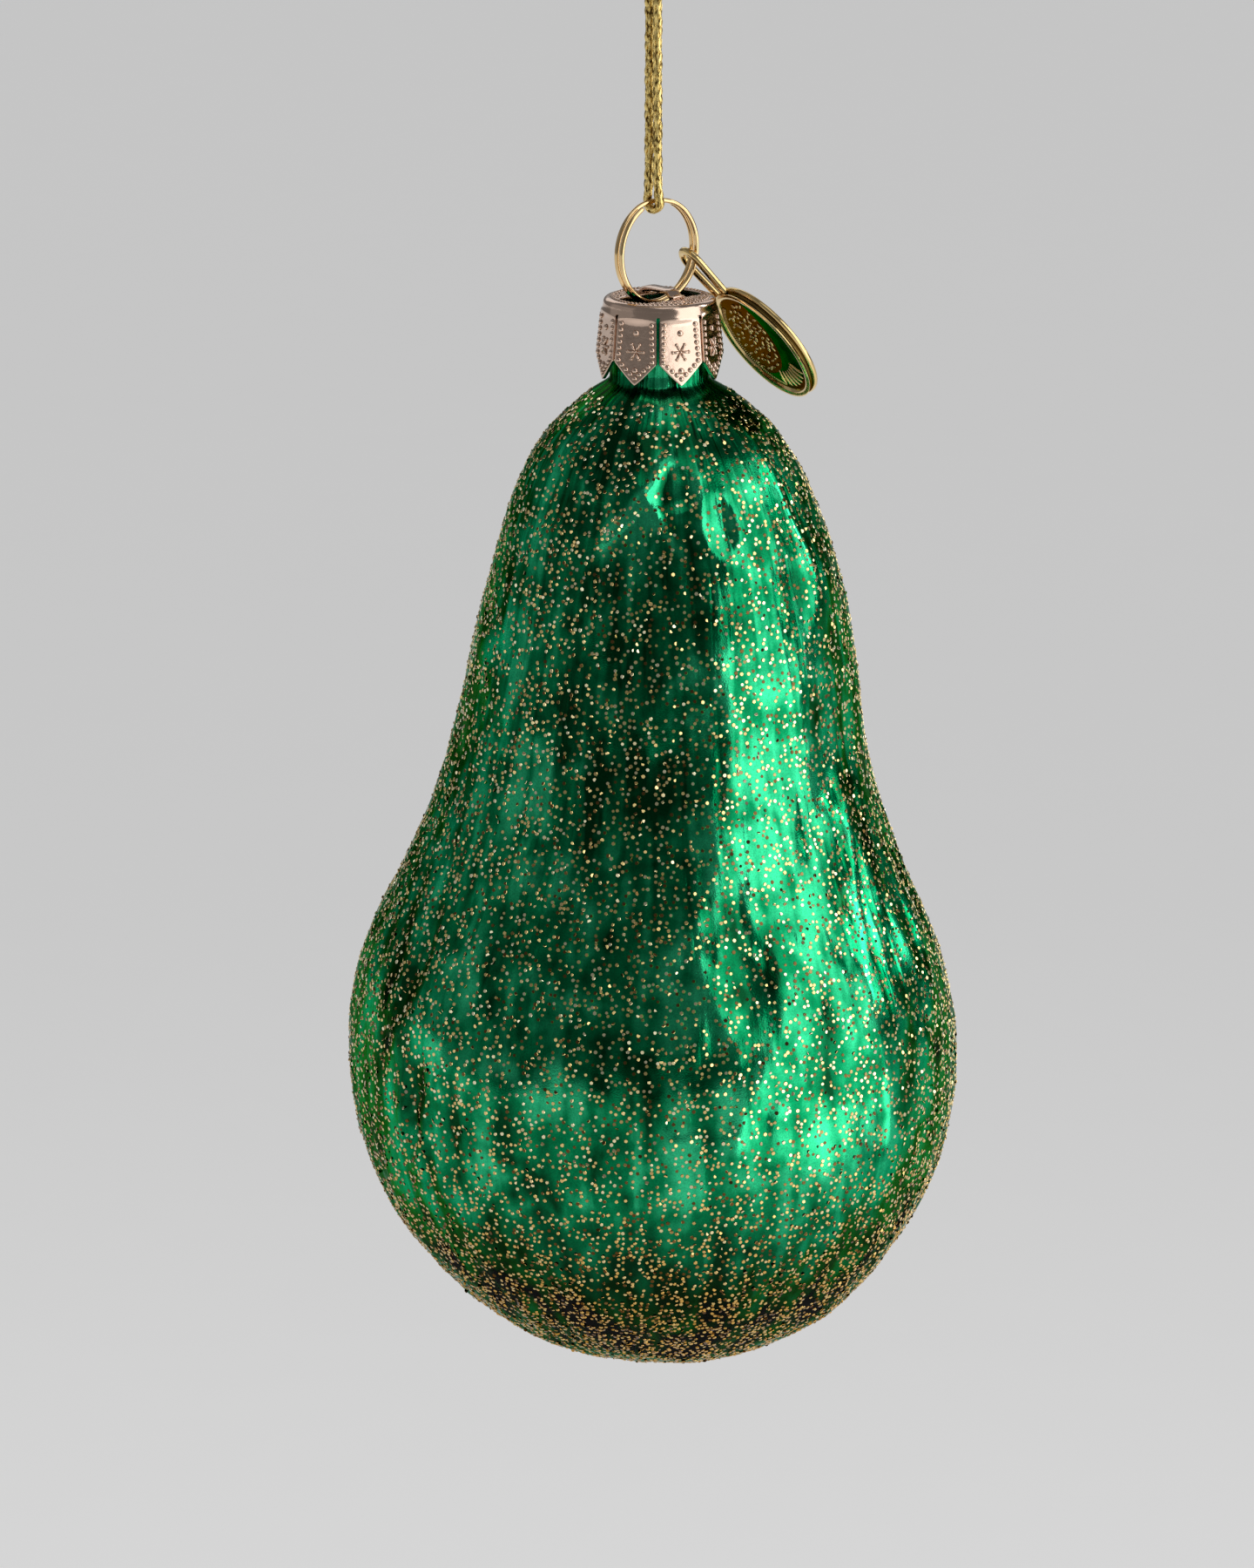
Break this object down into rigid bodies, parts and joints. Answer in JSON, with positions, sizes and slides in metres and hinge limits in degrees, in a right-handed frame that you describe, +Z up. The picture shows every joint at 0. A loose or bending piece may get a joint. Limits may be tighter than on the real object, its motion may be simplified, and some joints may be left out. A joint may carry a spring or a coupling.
{
  "type": "hanging ornament",
  "caption": "Hanging glass ornament in the shape of an avocado, with a crown cap, split ring, round tag and a cord loop.",
  "frame": {"origin": "the hanging point, on top of the knot in the cord", "axes": "+Z up along the cord; +X in the plane of the split ring, towards the tag; +Y along the split ring's own axis"},
  "size_m": [0.0629, 0.0629, 0.1496],
  "materials": {
    "lacquered_glass": "silvered glass under translucent emerald lacquer, satin, with fine gold glitter",
    "cap_metal": "bright stamped sheet, rose gold",
    "spring_steel": "plain drawn wire",
    "ring_gold": "polished, yellow gold",
    "tag_gold": "polished, yellow gold",
    "green_enamel": "glossy dark green enamel",
    "metallic_cord": "braided metallic thread, gold"
  },
  "bodies": {
    "cord": {"hanging_cord": "metallic_cord", "cord_knot": "metallic_cord"},
    "ring": {"split_ring": "ring_gold"},
    "ornament": {"glass_body": "lacquered_glass", "crown_cap": "cap_metal", "neck_spring": "spring_steel"},
    "tag": {"tag_plate": "tag_gold", "tag_enamel": "green_enamel"}
  },
  "joints": [
    {"name": "ring_swing", "type": "hinge", "parent": "cord", "child": "ring", "pos_m": [0, 0, -0.02615], "axis": [1, 0, 0], "range_deg": [-75, 75]},
    {"name": "cap_swing", "type": "hinge", "parent": "ring", "child": "ornament", "pos_m": [0.0009, 0, -0.03655], "axis": [1, 0, 0], "range_deg": [-22, 50]},
    {"name": "tag_swing", "type": "hinge", "parent": "ring", "child": "tag", "pos_m": [0.00543, 0, -0.03302], "axis": [-0.1907, -0.9817, 0], "range_deg": [0, 75]}
  ]
}
